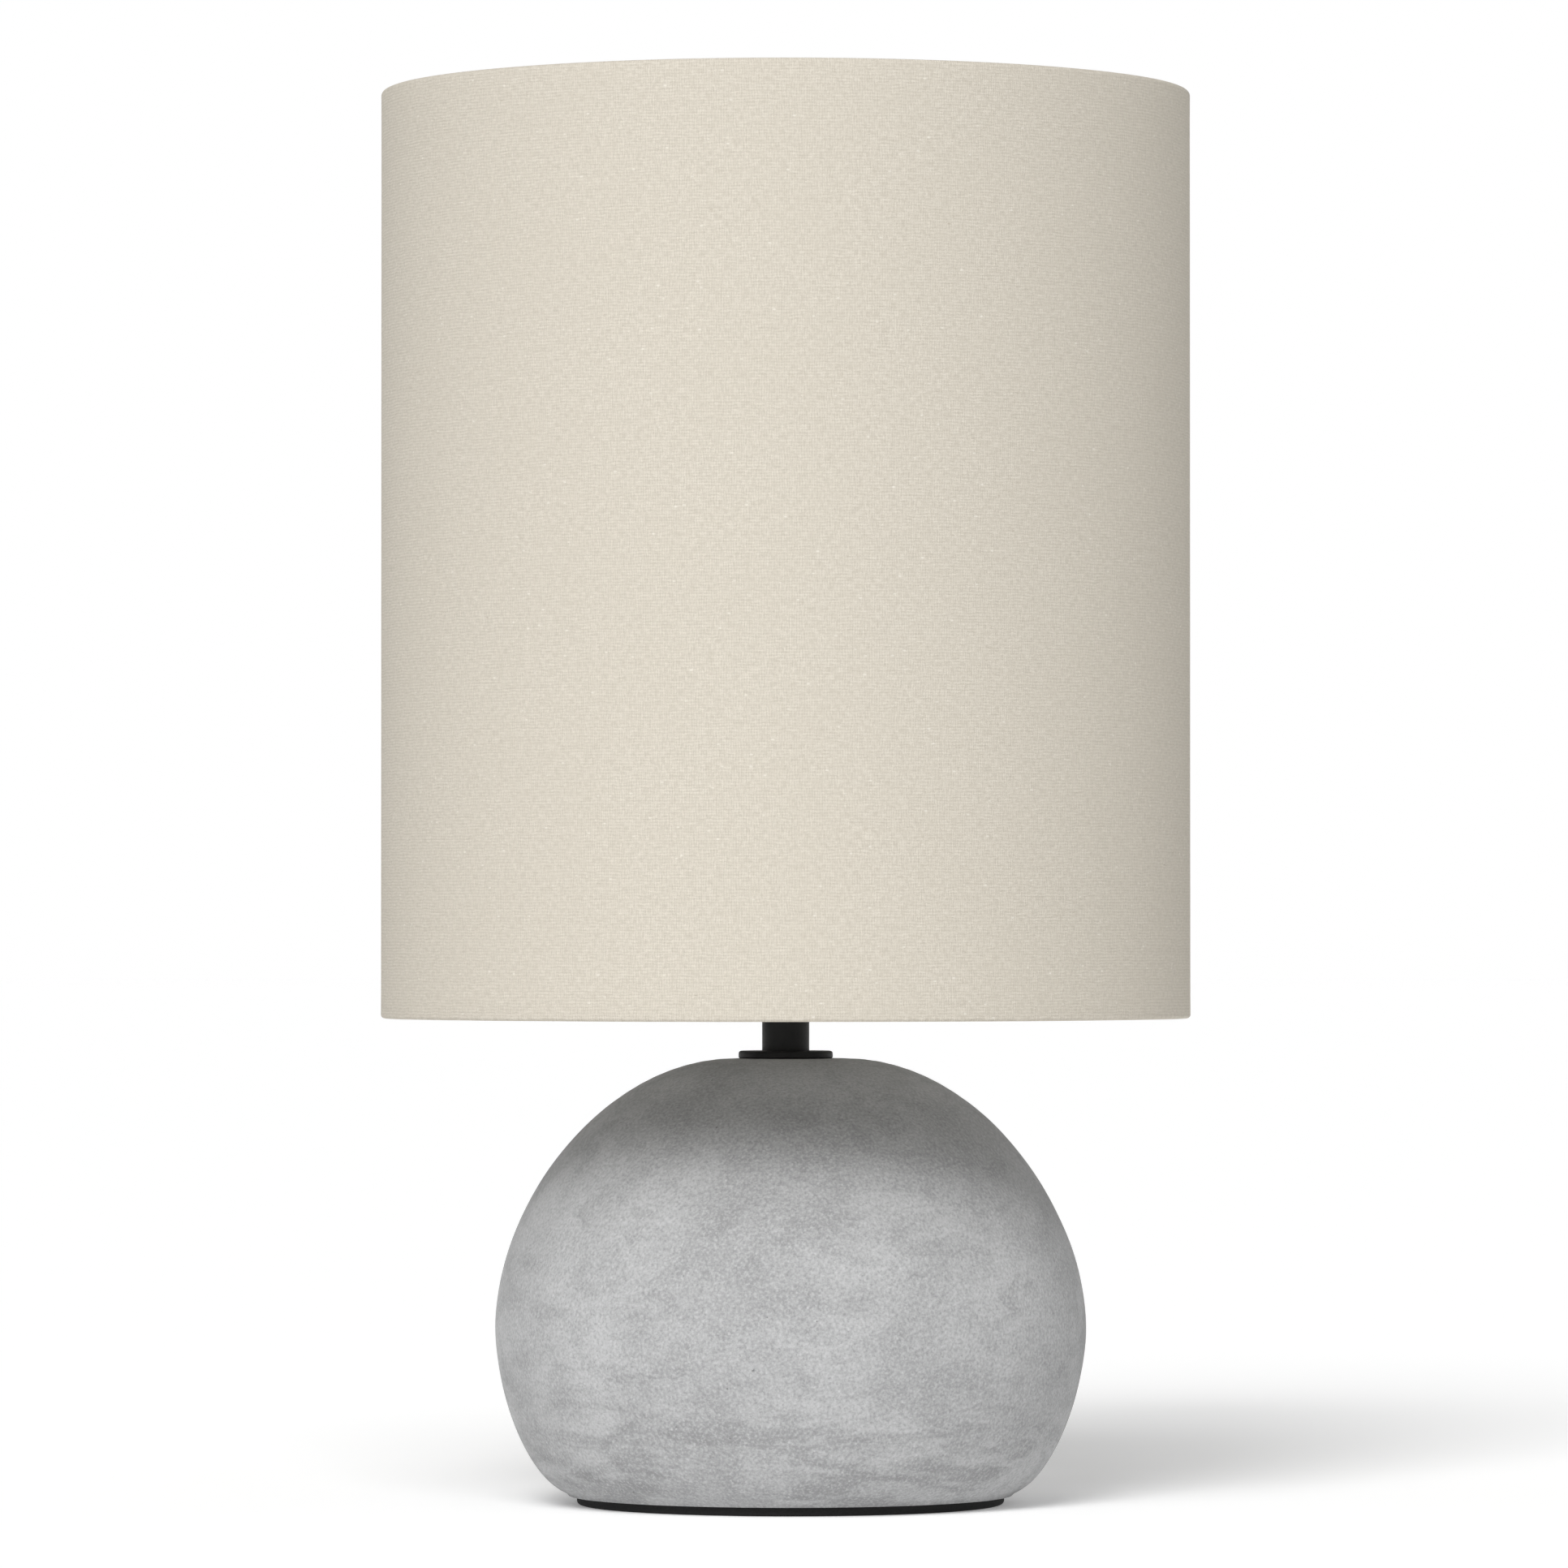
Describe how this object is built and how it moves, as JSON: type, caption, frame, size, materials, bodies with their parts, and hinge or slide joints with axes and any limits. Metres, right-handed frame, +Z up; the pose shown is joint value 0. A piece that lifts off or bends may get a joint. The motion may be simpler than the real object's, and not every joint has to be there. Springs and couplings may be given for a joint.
{
  "type": "table lamp",
  "caption": "Table lamp with a hollow-cast ball base, a short metal neck, a turn-key lampholder and a tall fabric drum shade on a three-arm carrier.",
  "frame": {"origin": "centre of the foot pad's underside, on the table", "axes": "+Z up along the lamp's axis, the front towards -Y, the cord outlet towards +Y and the turn key towards +X"},
  "size_m": [0.24, 0.24, 0.4188],
  "materials": {
    "concrete": "matte",
    "foam_pad": "matte",
    "black_rubber": "matte",
    "zinc_steel": "satin",
    "black_metal": "satin",
    "black_phenolic": "satin",
    "cream_phenolic": "matte",
    "contact_brass": "satin",
    "solder": "satin",
    "black_glass": "gloss",
    "bulb_metal": "satin",
    "bulb_plastic": "satin",
    "circuit_board": "satin",
    "led_white": "satin",
    "diffuser": "satin",
    "white_wire": "satin",
    "liner_film": "satin",
    "linen": "matte"
  },
  "bodies": {
    "base": {"base_pad": "foam_pad", "concrete_body": "concrete", "cord_grommet": "black_rubber", "clamp_washer": "zinc_steel", "lock_washer": "zinc_steel", "pipe_nut": "zinc_steel", "lamp_pipe": "zinc_steel", "check_ring": "black_metal", "neck_tube": "black_metal", "socket_cap": "black_phenolic", "cap_set_screw": "zinc_steel", "socket_shell": "black_phenolic", "switch_block": "cream_phenolic", "terminal_screws": "contact_brass", "centre_contact": "contact_brass", "screw_shell": "contact_brass", "socket_ring": "black_phenolic"},
    "knob": {"switch_key": "black_phenolic", "switch_shaft": "zinc_steel", "switch_rotor": "cream_phenolic"},
    "bulb": {"bulb_tip": "solder", "bulb_insulator": "black_glass", "bulb_cap": "bulb_metal", "bulb_collar": "bulb_plastic", "bulb_driver": "circuit_board", "heat_spreader": "bulb_metal", "led_board": "led_white", "bulb_globe": "diffuser"},
    "shade": {"fitter_ring": "white_wire", "carrier_arms": "white_wire", "bottom_ring": "white_wire", "top_ring": "white_wire", "shade_liner": "liner_film", "shade_fabric": "linen"}
  },
  "joints": [
    {"name": "shade_swivel", "type": "hinge", "parent": "base", "child": "shade", "pos_m": [0, 0, 0.1942], "axis": [0, 0, 1], "continuous": true},
    {"name": "switch_turn", "type": "hinge", "parent": "base", "child": "knob", "pos_m": [0.019, 0, 0.1764], "axis": [1, 0, 0], "continuous": true},
    {"name": "bulb_lift", "type": "slide", "parent": "base", "child": "bulb", "axis": [0, 0, 1], "range_m": [0, 0.23]}
  ]
}
